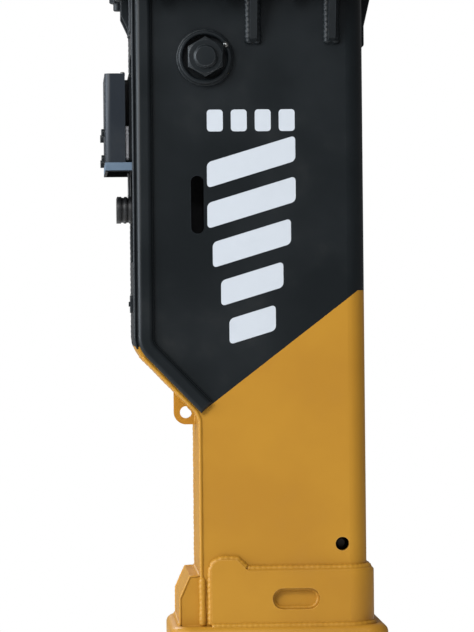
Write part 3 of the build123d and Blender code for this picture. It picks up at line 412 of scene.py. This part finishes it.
# %% Dress the frame's pieces
FINISHES = {
    side_paint: "right_side_plate left_side_plate front_plate",
    rear_paint: "rear_plate",
    blue_black_paint: "lube_guard",
    highlit_handled_paint: "cross_nuts cross_bolt flange_bolts flange_nuts guard_bolts",
    black_paint: "right_rim left_rim top_flange side_gussets end_gussets nut_guard_rings "
    "bracket_base right_ear left_ear bracket_stiffeners pump_bracket flange_washers "
    "cross_spacer guide_beam",
    yellow_paint: "lower_wrap rear_block bottom_shoe lifting_lug retainer_covers",
    turned_steel: "tool",
    ground_steel: "piston valve_spool retaining_pins",
    milled_steel_and_shade: "front_head cylinder back_head valve_box accumulator_body accumulator_cover "
    "thrust_ring",
    # The stop pins take the dark blackened steel partly as painted shade, so that the round hole over them
    # reads black.
    bolt_steel: "stop_pins through_bolts through_bolt_nuts accumulator_bolts valve_plug gas_valve",
    zinc_steel: "port_adapters",
    bronze: "pin_bushings upper_bush lower_bush seal_carrier",
    rubber: "upper_damper lower_damper dust_seal",
    plastic: "port_caps lube_pump lube_line",
    guide_plastic: "wear_pads",
    lit_cartridge_plastic: "lube_cartridge",
    tray_painted_light: "lube_tray",
}
EDGES = {
    "top_flange": 4.0,
    "bracket_base": 4.0,
    "right_ear": 5.0,
    "left_ear": 5.0,
    "side_gussets": 2.5,
    "end_gussets": 2.5,
    "bracket_stiffeners": 2.5,
    "lower_wrap": 7.0,
    "lifting_lug": 1.5,
    "rear_block": 3.0,
    "lube_guard": 1.0,
    "pump_bracket": 0.8,
    "lube_tray": 1.0,
    "lube_pump": 3.0,
    "cross_nuts": 1.5,
    "front_head": 3.0,
    "cylinder": 3.0,
    "back_head": 3.0,
    "valve_box": 2.0,
}
UNBROKEN = "right_side_plate left_side_plate front_plate rear_plate".split()
CORNER_ANGLE = math.radians(32)

for material, names in FINISHES.items():
    for name in names.split():
        piece = nodes[name]
        piece.data.materials.clear()
        piece.data.materials.append(material)
        weld = piece.modifiers.new("join", "WELD")
        weld.merge_threshold = 0.00002
        if name in UNBROKEN:
            continue
        corner = piece.modifiers.new("broken corners", "BEVEL")
        corner.width = EDGES.get(name, 0.7) * MM
        corner.segments = 2
        corner.limit_method = "ANGLE"
        corner.angle_limit = CORNER_ANGLE
        corner.harden_normals = False
print("dressed:", sum(len(names.split()) for names in FINISHES.values()))

# %% [markdown]
# New pieces all end the same way: a finished bmesh becomes an object at the origin, gets its finish,
# and rides on the body that carries it.


# %% From bmesh to piece
def finish_piece(name, shape, material, body="housing", smooth=True):
    bmesh.ops.remove_doubles(shape, verts=shape.verts, dist=0.000002)
    bmesh.ops.recalc_face_normals(shape, faces=shape.faces)
    for face in shape.faces:
        face.smooth = smooth
    mesh = bpy.data.meshes.new(name)
    shape.to_mesh(mesh)
    shape.free()
    mesh.materials.append(material)
    piece = bpy.data.objects.new(name, mesh)
    bpy.context.scene.collection.objects.link(piece)
    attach(piece, body)
    return piece


# %% [markdown]
# A weld bead is a string of frozen ripples. Each stroke of the torch leaves one, two or three
# millimetres on from the last. We draw the bead's round section once, pull it along the seam in
# short steps, and make every other ring a little fatter. Half of it lies inside the plates, just
# as real weld metal does. Seams are given as corner points, and a closed seam comes back to its
# start. `dense` cuts a seam into steps, so a round seam and a straight one are made alike.

# %% Weld beads
RIPPLE = 5.0


def dense(route, closed):
    """Points a ripple apart along a route."""
    points = []
    ends = route[1:] + route[:1] if closed else route[1:]
    for start, end in zip(route, ends):
        steps = max(1, round((end - start).length / (RIPPLE * MM)))
        points += [start.lerp(end, step / steps) for step in range(steps)]
    return points if closed else points + [route[-1]]


def add_bead(shape, route, size, closed=False):
    """Adds one bead of that radius, in millimetres, to a bmesh."""
    points = dense(route, closed)
    count = len(points)
    ring = None
    first = None
    for number, point in enumerate(points):
        before = points[number - 1] if number or closed else point
        after = points[(number + 1) % count] if number + 1 < count or closed else point
        turn = (after - before).to_track_quat("Z", "Y").to_matrix().to_4x4()
        swell = 1.0 + 0.10 * math.sin(number * 2.1) + 0.05 * math.sin(number * 0.37)
        if not closed and number in (0, count - 1):
            swell *= 0.55
        place = Matrix.Translation(point) @ turn @ Matrix.Scale(swell, 4)
        made = bmesh.ops.create_circle(shape, segments=8, radius=size * MM, matrix=place)
        edges = list({edge for vert in made["verts"] for edge in vert.link_edges})
        if ring:
            bmesh.ops.bridge_loops(shape, edges=ring + edges)
        first = first or edges
        ring = edges
    if closed:
        bmesh.ops.bridge_loops(shape, edges=ring + first)
    else:
        bmesh.ops.holes_fill(shape, edges=first, sides=8)
        bmesh.ops.holes_fill(shape, edges=ring, sides=8)


def beads(name, seams, material, body="housing"):
    """One piece of weld metal, from (route, size, closed) seams."""
    shape = bmesh.new()
    for route, size, closed in seams:
        add_bead(shape, route, size, closed)
    piece = finish_piece(name, shape, material, body)
    print(name, len(piece.data.polygons), "faces")
    return piece


def ring_route(centre, radius, count=64):
    """A round seam on a side plate, about an axis along the width."""
    steps = [math.tau * step / count for step in range(count)]
    reach = radius * MM
    return [centre + Vector((math.cos(a) * reach, 0, math.sin(a) * reach)) for a in steps]


# %% [markdown]
# The seams of the box follow its plates. Every gusset is welded down both sides, the guard rings
# round their outside, the rims along their inner edge, and the foot's wrap along its top and rear.

# %% Welds of the upper housing
GUSSETS = (-89.0, 127.0)
GUSSET_HALF = 10.0
SLOPE = Vector((WAIST_X - REAR_X, WAIST_Z - SHOULDER_Z)).normalized()
INWARD = Vector((-SLOPE.y, SLOPE.x))
BEND = math.acos(-SLOPE.y)


def rear_line(inset, radius):
    """The rear edge seen from the side, moved in and with its bend rounded, as (x, z) points."""
    corner = Vector((REAR_X + inset, SHOULDER_Z + inset * math.tan(BEND / 2)))
    back = radius * math.tan(BEND / 2)
    centre = corner + Vector((radius, back))
    turns = [BEND * step / 6 for step in range(7)]
    bend = [centre - radius * Vector((math.cos(a), math.sin(a))) for a in turns]
    end = Vector((WAIST_X, WAIST_Z)) + INWARD * inset
    return [Vector((REAR_X + inset, TOP - 3))] + bend + [end]


upper_seams = []
for side in (-1, 1):
    wall_y = side * HALF
    for x in GUSSETS:
        for edge_x in (x - GUSSET_HALF, x + GUSSET_HALF):
            upper_seams.append(([at(edge_x, wall_y, 1716), at(edge_x, wall_y, TOP)], 13, False))
    ring_centre = at(-222, wall_y, 1679)
    upper_seams.append((ring_route(ring_centre, 74), 6, True))
    upper_seams.append(([at(x, wall_y, z) for x, z in rear_line(52, 38)], 4.5, False))
    rear_edge = [at(x, side * (HALF - 1), z) for x, z in rear_line(3, 87)]
    upper_seams.append((rear_edge[:5], 4.5, False))
    upper_seams.append(([at(REAR_X + 60, wall_y, TOP), at(FRONT_X - 52, wall_y, TOP)], 7, False))
for x, half in ((REAR_X, 195), (FRONT_X, 158)):
    upper_seams.append(([at(x, -half, TOP), at(x, half, TOP)], 7, False))
for side in (-1, 1):
    for x, y, low in ((REAR_X, side * 75, 1756), (FRONT_X, side * 35, 1711)):
        for edge_y in (y - GUSSET_HALF, y + GUSSET_HALF):
            upper_seams.append(([at(x, edge_y, low), at(x, edge_y, TOP)], 6, False))
beads("upper_welds", upper_seams, black_paint)

# %% [markdown]
# The foot takes the most abuse. Its wrap is welded to the box all round, also through a long slot in
# each side, and to the shoe under it with the heaviest bead on the machine.

# %% Welds of the foot
WRAP_REAR = -218.0
WRAP_OUT = 20.0
WRAP_TOP = 272.0
HUMP_TOP = 299.0
HUMP_X = -148.0
SHOE_TOP = (shoe_high.z - UNDERSIDE_Z) / MM
BLOCK_HALF = HALF - 15
LUG_HALF = 14.0


def round_front(x0, outset, z, steps=10):
    """A level route from the right rear, round the rounded front corners, to the left rear."""
    half = HALF + outset
    radius = 50.0 + outset
    centre_x, centre_y = FRONT_X + outset - radius, half - radius
    quarter = [math.pi / 2 * step / steps for step in range(steps + 1)]
    right = [(centre_x + radius * math.sin(a), -centre_y - radius * math.cos(a)) for a in quarter]
    left = [(centre_x + radius * math.cos(a), centre_y + radius * math.sin(a)) for a in quarter]
    return [at(x, y, z) for x, y in [(x0, -half)] + right + left + [(x0, half)]]


def slot_line(centre_x, centre_z, half_length, radius, y, steps=8):
    """Round an upright slot with round ends, lying along x."""
    turns = [math.pi * step / steps - math.pi / 2 for step in range(steps + 1)]
    arc = [(half_length + radius * math.cos(a), radius * math.sin(a)) for a in turns]
    ahead = [at(centre_x + along, y, centre_z + up) for along, up in arc]
    behind = [at(centre_x - along, y, centre_z - up) for along, up in arc]
    return ahead + behind


hump_foot = HUMP_X + HUMP_TOP - WRAP_TOP
foot_seams = [
    (round_front(hump_foot, 4, WRAP_TOP), 10, False),
    (round_front(WRAP_REAR, WRAP_OUT, SHOE_TOP), 9, False),
]
for side in (-1, 1):
    wall_y = side * HALF
    hump = [
        (WRAP_REAR, SHOE_TOP + 2),
        (WRAP_REAR, HUMP_TOP - 30),
        (WRAP_REAR + 9, HUMP_TOP - 9),
        (WRAP_REAR + 30, HUMP_TOP),
        (HUMP_X, HUMP_TOP),
        (hump_foot, WRAP_TOP),
    ]
    foot_seams.append(([at(x, side * (HALF + 6), z) for x, z in hump], 11, False))
    foot_seams.append((slot_line(15, 190, 36, 27, wall_y), 7, True))
    block = [(-303, SHOE_TOP + 2), (-303, 192), (-276, 252), (WAIST_X - 2, 253)]
    foot_seams.append(([at(x, side * BLOCK_HALF, z) for x, z in block], 3, False))
    slope_end = Vector((WAIST_X, WAIST_Z)) - SLOPE * 12 + INWARD * 4
    slope_start = Vector((REAR_X, SHOULDER_Z)) + SLOPE * 28 + INWARD * 4
    upright = [(WAIST_X + 4, SHOE_TOP), (WAIST_X + 4, WAIST_Z - 12)]
    edge = upright + [slope_end, slope_start]
    foot_seams.append(([at(x, side * (HALF - 1.5), z) for x, z in edge], 5.5, False))
    corner = [at(WAIST_X + 6, side * (HALF - 1), z) for z in (SHOE_TOP, 250)]
    foot_seams.append((corner, 10, False))
    lug = [(WAIST_X - 1, 668), (WAIST_X - 1, WAIST_Z), (-306, 756)]
    foot_seams.append(([at(x, side * LUG_HALF, z) for x, z in lug], 5, False))
for x, half, z, size in ((-303, BLOCK_HALF - 3, SHOE_TOP, 8), (WAIST_X, BLOCK_HALF, 253, 7)):
    foot_seams.append(([at(x, -half, z), at(x, half, z)], size, False))
beads("foot_welds", foot_seams, yellow_paint)

# %% [markdown]
# The bracket on top carries the pins. Its ears stand on a thick base, and they take the whole
# pull of the carrier, so both sides of each ear get a heavy bead, and each pin boss one round it.

# %% Welds of the bracket
BASE_TOP = (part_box("bracket_base")[1].z - UNDERSIDE_Z) / MM
STICK_PIN = Vector((0.0, 0.0, 0.0))
LINK_PIN = Vector((0.48, 0.0, 0.04))
EAR_IN, EAR_OUT = 165.0, 215.0

bracket_seams = []
for side in (-1, 1):
    for y in (EAR_IN, EAR_OUT):
        bracket_seams.append(([at(x, side * y, BASE_TOP) for x in (-396, 266)], 11, False))
    for x in (-260, -80, 100):
        for edge in (-1, 1):
            foot = [at(x + edge * 10, side * y, BASE_TOP) for y in (EAR_OUT, 284)]
            bracket_seams.append((foot, 7, False))
    for pin in (STICK_PIN, LINK_PIN):
        ring = ring_route(pin + Vector((0, side * EAR_OUT * MM, 0)), 95, 96)
        bracket_seams.append((ring, 7, True))
for edge in (-15, 15):
    foot = [at(-40 + edge, -EAR_IN, BASE_TOP), at(-40 + edge, EAR_IN, BASE_TOP)]
    bracket_seams.append((foot, 9, False))
beads("bracket_welds", bracket_seams, black_paint)

# %% [markdown]
# Grease nipples feed the pins. One has a hexagon foot and a turned head: a short neck under a
# small ball that the grease gun's jaws snap over. The head is a profile spun round its axis.

# %% Grease nipples
FOOT_HEIGHT = 6.0
COLLAR = [(0.0, 0.0), (5.0, 0.0), (5.0, 3.0), (3.0, 4.5), (3.0, 7.0)]
BALL = [(3.9, 8.4), (3.4, 10.4), (1.6, 11.5), (0.0, 11.5)]


def spun(shape, profile, base, steps):
    """Spins a profile of (radius, height) points round the upright axis, standing on base."""
    points = [shape.verts.new((radius * MM, 0, (base + height) * MM)) for radius, height in profile]
    edges = [shape.edges.new(pair) for pair in zip(points, points[1:])]
    bmesh.ops.spin(
        shape,
        geom=points + edges,
        cent=(0, 0, 0),
        axis=(0, 0, 1),
        angle=math.tau,
        steps=steps,
        use_merge=True,
    )


def nipple(name, foot, up):
    """A nipple standing on a point, with its axis along up."""
    shape = bmesh.new()
    hexagon = bmesh.ops.create_circle(shape, cap_ends=True, segments=6, radius=7.5 * MM)
    base = hexagon["verts"][0].link_faces[0]
    raised = bmesh.ops.extrude_face_region(shape, geom=[base], use_keep_orig=True)["geom"]
    top = [v for v in raised if isinstance(v, bmesh.types.BMVert)]
    bmesh.ops.translate(shape, verts=top, vec=(0, 0, FOOT_HEIGHT * MM))
    spun(shape, COLLAR + BALL, FOOT_HEIGHT, 16)
    turn = up.to_track_quat("Z", "Y").to_matrix().to_4x4()
    bmesh.ops.transform(shape, matrix=Matrix.Translation(foot) @ turn, verts=shape.verts)
    return finish_piece(name, shape, zinc_steel)


BOSS_TOP = 94.5 * MM
BOSS_Y = 0.225
upward = Vector((0, 0, 1))
for number, pin in enumerate((STICK_PIN, LINK_PIN)):
    for label, side in (("right", -1), ("left", 1)):
        foot = pin + Vector((0, side * BOSS_Y, BOSS_TOP))
        nipple(f"{label}_grease_nipple_{number + 1}", foot, upward)
nipple("ring_grease_nipple", at(-165, -HALF - 21, 1713), Vector((0, -1, 0)))
print("grease nipples: 5")

# %% [markdown]
# Small pipework finishes the greaser. A translucent sight tube stands beside the cartridge, ringed
# where it is clamped, a plated elbow sits on the pump, and a thin steel pipe drops from the tray to
# the ports. All are profiles spun round an upright axis. A blanking plate covers a spare port.

# %% Greaser fittings
GUARD_GAP = -436.5


def turned(name, profile, foot, material, steps=24):
    """A turned piece on an upright axis, from (radius, height) points in millimetres."""
    shape = bmesh.new()
    spun(shape, profile, 0.0, steps)
    bmesh.ops.translate(shape, verts=shape.verts, vec=foot)
    return finish_piece(name, shape, material)


def tube_profile(radius, height, rings):
    """A closed tube with rings a millimetre proud, at those heights."""
    profile = [(0.0, 0.0), (radius, 0.0)]
    for ring in rings:
        profile += [(radius, ring - 2), (radius + 1, ring - 1), (radius + 1, ring + 1), (radius, ring + 2)]
    return profile + [(radius, height), (0.0, height)]


sight_profile = tube_profile(4.4, 94, (8, 20, 74, 86))
turned("sight_tube", sight_profile, at(GUARD_GAP, -168, 1400), lit_cartridge_plastic)
stem = [(0.0, 0.0), (7.0, 0.0), (7.0, 8.0), (5.0, 9.0), (5.0, 12.0)]
elbow = stem + [(8.0, 13.0), (8.0, 20.0), (6.0, 23.0), (0.0, 23.0)]
turned("pump_fitting", elbow, at(-447, -40, 1630), zinc_steel, 12)
turned("grease_pipe", tube_profile(3.0, 76, (6, 68)), at(-433, -150, 1295), plastic)

plate = bmesh.new()
bmesh.ops.create_cube(plate, size=1.0)
bmesh.ops.scale(plate, vec=(7 * MM, 120 * MM, 50 * MM), verts=plate.verts)
BREAK = {"profile": 0.5, "affect": "EDGES", "material": -1}
corners = [e for e in plate.edges if abs(e.verts[0].co.x - e.verts[1].co.x) > 3 * MM]
bmesh.ops.bevel(plate, geom=corners, offset=10 * MM, segments=4, **BREAK)
rear_rim = [e for e in plate.edges if e.verts[0].co.x < 0 and e.verts[1].co.x < 0]
bmesh.ops.bevel(plate, geom=rear_rim, offset=1.5 * MM, segments=2, **BREAK)
BOLT_HEAD = {"segments": 6, "radius1": 8 * MM, "radius2": 7 * MM, "depth": 6 * MM}
for y in (-45, 45):
    place = Matrix.Translation((-4 * MM, y * MM, 0)) @ Matrix.Rotation(math.pi / 2, 4, "Y")
    bmesh.ops.create_cone(plate, cap_ends=True, matrix=place, **BOLT_HEAD)
bmesh.ops.translate(plate, verts=plate.verts, vec=at(REAR_X - 3, 0, 1004))
finish_piece("blanking_plate", plate, black_paint, smooth=False)
print("fittings: 3, and a blanking plate")

# %% [markdown]
# The printed graphic is a thin white film, cut by machine and rubbed on. We use a plain pattern of
# our own: a row of small blocks over a column of broad slanted bars with rounded corners. Each bar
# starts as a flat quad, is sheared and bevelled, then solidified to the film's thickness.

# %% White graphic
FILM = 0.35
FLAT = 1e-7
BAR_WIDTHS = (244, 244, 216, 172, 128)


def add_bar(shape, x, z, width, height, shear, corner, wall_y, side):
    """One slanted bar of film, upright on a side plate."""
    quad = bmesh.ops.create_grid(shape, x_segments=1, y_segments=1, size=0.5)
    verts = quad["verts"]
    bmesh.ops.scale(shape, vec=(width * MM, height * MM, 1), verts=verts)
    for vert in verts:
        vert.co.y += vert.co.x * shear
    bmesh.ops.bevel(
        shape,
        geom=verts,
        offset=corner * MM,
        segments=4,
        profile=0.5,
        affect="VERTICES",
        material=-1,
    )
    made = [f for f in shape.faces if f.is_valid and abs(f.calc_center_median().z) < FLAT]
    points = list({vert for f in made for vert in f.verts})
    bmesh.ops.rotate(shape, verts=points, cent=(0, 0, 0), matrix=Matrix.Rotation(math.pi / 2, 3, "X"))
    bmesh.ops.translate(shape, verts=points, vec=at(x, wall_y + side * FILM * 0.3, z))


for label, side in (("right", -1), ("left", 1)):
    film = bmesh.new()
    for number in range(4):
        add_bar(film, -196 + number * 66, 1506, 44, 60, 0.0, 9, side * HALF, side)
    for number, width in enumerate(BAR_WIDTHS):
        add_bar(film, -97, 1392 - number * 112, width, 70, 0.30, 12, side * HALF, side)
    bmesh.ops.solidify(film, geom=film.faces[:], thickness=FILM * MM)
    finish_piece(f"{label}_graphic", film, vinyl, smooth=False)
print("graphics on both sides")

# %% [markdown]
# Light. The machine stands on a pale studio floor under a white sky. Shadows come from four large
# soft lamps, and a fifth only adds the cool sheen along the edges that face the rear. The sky is
# bright where the camera looks straight at it, and dimmer as a light, so that the black paint
# isn't washed out by its own reflections.

# %% Studio
floor_shape = bmesh.new()
bmesh.ops.create_circle(floor_shape, cap_ends=True, segments=128, radius=6.5)
bmesh.ops.translate(floor_shape, verts=floor_shape.verts, vec=(TOOL_X, 0, tool_low.z - 0.004))
floor_mesh = bpy.data.meshes.new("floor")
floor_shape.to_mesh(floor_mesh)
floor_shape.free()
floor = bpy.data.objects.new("floor", floor_mesh)
bpy.context.scene.collection.objects.link(floor)
floor_finish = Finish("studio floor")
concrete = floor_finish.noise(2.0, 4.0)
floor_mesh.materials.append(
    floor_finish.surface(
        Base_Color=floor_finish.mix(concrete, (0.86, 0.86, 0.86, 1.0), (0.80, 0.80, 0.80, 1.0)),
        Roughness=0.85,
        Emission_Color=(1.0, 1.0, 1.0, 1.0),
        Emission_Strength=0.18,
    )
)

sky = bpy.data.worlds.new("studio sky")
bpy.context.scene.world = sky
sky.use_nodes = True
links = sky.node_tree.links
backdrop = sky.node_tree.nodes["Background"]
backdrop.inputs["Color"].default_value = (1.0, 1.0, 1.0, 1.0)
ray = sky.node_tree.nodes.new("ShaderNodeLightPath")
level = sky.node_tree.nodes.new("ShaderNodeMapRange")
level.inputs["To Min"].default_value = 0.20
level.inputs["To Max"].default_value = 1.0
links.new(ray.outputs["Is Camera Ray"], level.inputs["Value"])
links.new(level.outputs["Result"], backdrop.inputs["Strength"])


def lamp(name, place, aim, size, power, tint=(1.0, 1.0, 1.0)):
    light = bpy.data.lights.new(name, "AREA")
    light.shape = "RECTANGLE"
    light.size, light.size_y = size
    light.energy = power
    light.color = tint
    holder = bpy.data.objects.new(name, light)
    bpy.context.scene.collection.objects.link(holder)
    holder.location = place
    holder.rotation_euler = (aim - place).to_track_quat("-Z", "Y").to_euler()
    return holder


middle = at(-100, 0, 950)
PANEL = (6.5, 5.0)
COOL = (0.88, 0.94, 1.0)
COOLER = (0.84, 0.92, 1.0)
lamp("key", middle + Vector((-5.0, -6.6, 4.4)), middle, (2.6, 3.6), 560)
lamp("front", middle + Vector((-0.6, -6.2, 6.4)), middle, (2.6, 3.0), 190)
lamp("side", middle + Vector((-6.2, -1.6, 1.4)), middle, PANEL, 330, COOL)
sheen = lamp("sheen", middle + Vector((-6.6, -1.7, 1.5)), middle, PANEL, 700, COOLER)
sheen.visible_diffuse = False
lamp("back", middle + Vector((-3.0, 6.0, 4.0)), middle, (3.5, 3.5), 300)
bpy.context.scene.view_settings.view_transform = "Standard"
print("floor, sky and five lamps")

# %% [markdown]
# The camera stands nine metres off the right side plate with a long lens, so upright edges stay
# upright. It is a little to the rear, which shows a sliver of the rear faces, and is tilted by half
# a degree. It sees the box from just under its flange to just above its sole.

# %% Camera
DISTANCE = 9.0
YAW = math.radians(2.9)
ROLL = math.radians(-0.55)
LENS = 186.4
aim = at(-140, -HALF, 968)
camera_data = bpy.data.cameras.new("camera")
camera_data.lens = LENS
camera_data.sensor_width = 36.0
camera = bpy.data.objects.new("camera", camera_data)
bpy.context.scene.collection.objects.link(camera)
toward = Vector((math.sin(YAW), math.cos(YAW), 0.0))
camera.location = aim - toward * DISTANCE
camera.rotation_mode = "QUATERNION"
level_view = toward.to_track_quat("-Z", "Y")
camera.rotation_quaternion = level_view @ Matrix.Rotation(ROLL, 3, "Z").to_quaternion()
bpy.context.scene.camera = camera
print("camera at", [round(c, 2) for c in camera.location])
